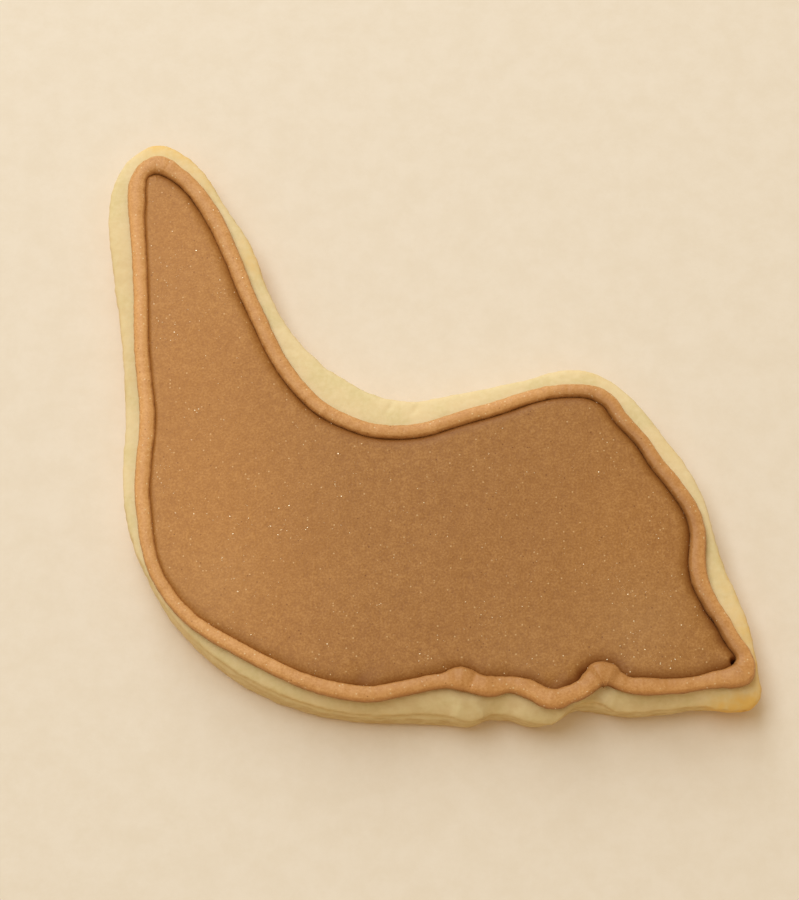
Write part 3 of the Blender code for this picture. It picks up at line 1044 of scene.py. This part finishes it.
def flood_mesh():
    """A height field over the flood's plan, with a skirt and a flat underside, all one closed mesh."""
    rim = flood_rim()
    dense = np.repeat(rim, RIM_READINGS, axis=0)
    count = len(rim)
    for k in range(1, RIM_READINGS):
        share = k / RIM_READINGS
        dense[k::RIM_READINGS] = rim * (1.0 - share) + np.roll(rim, -1, axis=0) * share
    read = line_reader(dense)
    flat = [Vector(row[:2]) / MM for row in rim]
    flat += [Vector(place) / MM for place in points_inside(rim, read)]
    edges = [(i, (i + 1) % count) for i in range(count)]
    corners, _, faces, *_ = delaunay_2d_cdt(flat, edges, [], 1, 1e-6)
    shape = bmesh.new()
    top, dark, thin, dusty = [], [], [], []
    for corner in corners:
        place = (corner.x * MM, corner.y * MM)
        inside, nearest = read(*place)
        roll, drop, groove = dense[nearest, 2:]
        off = max(inside, 0.0) - TUCK
        top.append(shape.verts.new((*place, flood_height(place, off, roll, drop))))
        # Painted shade in the groove by the bead, and in the shade spots
        darkness = groove * math.exp(-((max(off, 0.0) / (GROOVE_SHARE * roll)) ** 2))
        dark.append(min(darkness + bump_at(*place, DARK_SPOTS), 1.0))
        thin.append(min(bump_at(*place, THIN_ICING), 1.0))
        dusty.append(bump_at(*place, DUSTY_ICING))
    for face in in_fixed_order(faces):
        shape.faces.new([top[i] for i in face])
    low = [shape.verts.new((vertex.co.x, vertex.co.y, FLOOD_BASE)) for vertex in top[:count]]
    for i in range(count):
        shape.faces.new((top[i], top[i - 1], low[i - 1], low[i]))
    shape.faces.new(low)
    bmesh.ops.recalc_face_normals(shape, faces=shape.faces)
    mesh = bpy.data.meshes.new("icing_flood")
    shape.to_mesh(mesh)
    shape.free()
    below = [0.0] * (len(mesh.vertices) - len(dark))
    store(mesh, groove=dark + below, thin=thin + below, dusty=dusty + below)
    return mesh


flood = into_object("icing_flood", flood_mesh(), flood_finish)
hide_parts("flood_icing")
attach(flood, "root")
print(f"The flood has {len(flood.data.polygons)} faces")

# %% [markdown]
# ## Lustre flecks
# Lustre dust is tiny flat flakes, some of which catch the light. They are real six-sided flakes scattered
# over both icings by Geometry Nodes, turned at random, and made one mesh at the end. They lie thicker in
# some patches than in others, and most of all on the bead and where the flood is dusty. A tilted flake
# glints and dims by itself when the camera moves, and a painted dot would not.

# %% Scatter the flecks
FLECK_SIZES = {
    "Radius": 0.064 * MM,
    "Thickness": 0.025 * MM,
    "Density": 900000.0,
    "Bead level": FLOOD_TOP + 0.2 * MM,
    "Bead boost": 2.5,
    "Dust boost": 15.0,
    "Patch size": 6.0 * MM,
    "Tilt": 0.6,
    "Seed": 11,
}


def fleck_finish():
    material, tree, shader, where = new_material("lustre_fleck")
    colour = blend(tree, cloud(tree, where, 2 * MM), srgb(255, 234, 196), srgb(255, 220, 168))
    feed(tree, shader, {"Base Color": colour, "Metallic": 0.25, "Roughness": 0.28})
    return material


def fleck_tree():
    kinds = {name: "Float" for name in FLECK_SIZES}
    kinds["Seed"] = "Int"
    kinds.update({"Bead": "Object", "Flood": "Object", "Material": "Material"})
    tree, given = new_geometry_tree("lustre_flecks", kinds)
    joined = add(tree, "GeometryNodeJoinGeometry")
    for name in ("Bead", "Flood"):
        source = add(tree, "GeometryNodeObjectInfo", {"Object": given[name]})
        tree.links.new(source.outputs["Geometry"], joined.inputs[0])
    normal = add(tree, "GeometryNodeInputNormal").outputs[0]
    up = add(tree, "ShaderNodeSeparateXYZ", {0: normal}).outputs["Z"]
    facing = calculate(tree, "GREATER_THAN", up, 0.3)
    where = add(tree, "GeometryNodeInputPosition").outputs[0]
    scale = calculate(tree, "DIVIDE", 1.0, given["Patch size"])
    patches = add(
        tree, "ShaderNodeTexNoise", {"Vector": where, "Scale": scale, "Detail": 3.0}
    ).outputs["Fac"]
    level = add(tree, "ShaderNodeSeparateXYZ", {0: where}).outputs["Z"]
    on_bead = calculate(tree, "GREATER_THAN", level, given["Bead level"])
    share = calculate(tree, "MULTIPLY_ADD", on_bead, given["Bead boost"], 1.0)
    dusty = add(
        tree, "GeometryNodeInputNamedAttribute", {"Name": "dusty"}, data_type="FLOAT"
    ).outputs[0]
    share = calculate(tree, "MULTIPLY_ADD", dusty, given["Dust boost"], share)
    share = calculate(tree, "MULTIPLY", share, step_up(tree, patches, 0.42, 0.72))
    thick = calculate(tree, "MULTIPLY", share, given["Density"])
    scattered = add(
        tree, "GeometryNodeDistributePointsOnFaces",
        {"Mesh": joined.outputs[0], "Selection": facing, "Density": thick, "Seed": given["Seed"]},
    )
    flake = add(
        tree, "GeometryNodeMeshCylinder",
        {"Vertices": 6, "Radius": given["Radius"], "Depth": given["Thickness"]},
    ).outputs["Mesh"]
    low = calculate(tree, "MULTIPLY", given["Tilt"], -1.0)
    high = given["Tilt"]
    lows = add(tree, "ShaderNodeCombineXYZ", {"X": low, "Y": low, "Z": 0.0}).outputs[0]
    highs = add(tree, "ShaderNodeCombineXYZ", {"X": high, "Y": high, "Z": 6.28}).outputs[0]
    turn = add(
        tree, "FunctionNodeRandomValue", {0: lows, 1: highs, 8: given["Seed"]}, data_type="FLOAT_VECTOR"
    ).outputs[0]
    turn = add(tree, "FunctionNodeEulerToRotation", {0: turn}).outputs[0]
    tilted = add(
        tree, "FunctionNodeRotateRotation",
        {"Rotation": scattered.outputs["Rotation"], "Rotate By": turn}, rotation_space="LOCAL",
    )
    chance = add(tree, "FunctionNodeRandomValue", {2: 0.0, 3: 1.0, 8: 5}, data_type="FLOAT").outputs[1]
    size = calculate(tree, "MULTIPLY_ADD", calculate(tree, "POWER", chance, 4.0), 1.3, 0.4)
    laid = add(
        tree, "GeometryNodeInstanceOnPoints",
        {"Points": scattered.outputs["Points"], "Instance": flake, "Rotation": tilted.outputs[0],
         "Scale": size},
    ).outputs[0]
    put_out(tree, laid, given["Material"])
    return tree


def scatter_flecks():
    item = new_object("fleck_maker", bpy.data.meshes.new("fleck_maker"))
    modifier = item.modifiers.new("flecks", "NODES")
    modifier.node_group = fleck_tree()
    finish = fleck_finish()
    set_inputs(modifier, {**FLECK_SIZES, "Bead": bead, "Flood": flood, "Material": finish})
    return into_object("lustre_flecks", plain_mesh(item), finish)


flecks = scatter_flecks()
flecks.data.shade_flat()
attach(flecks, "root")
print(f"{len(flecks.data.polygons) // 8} flecks")
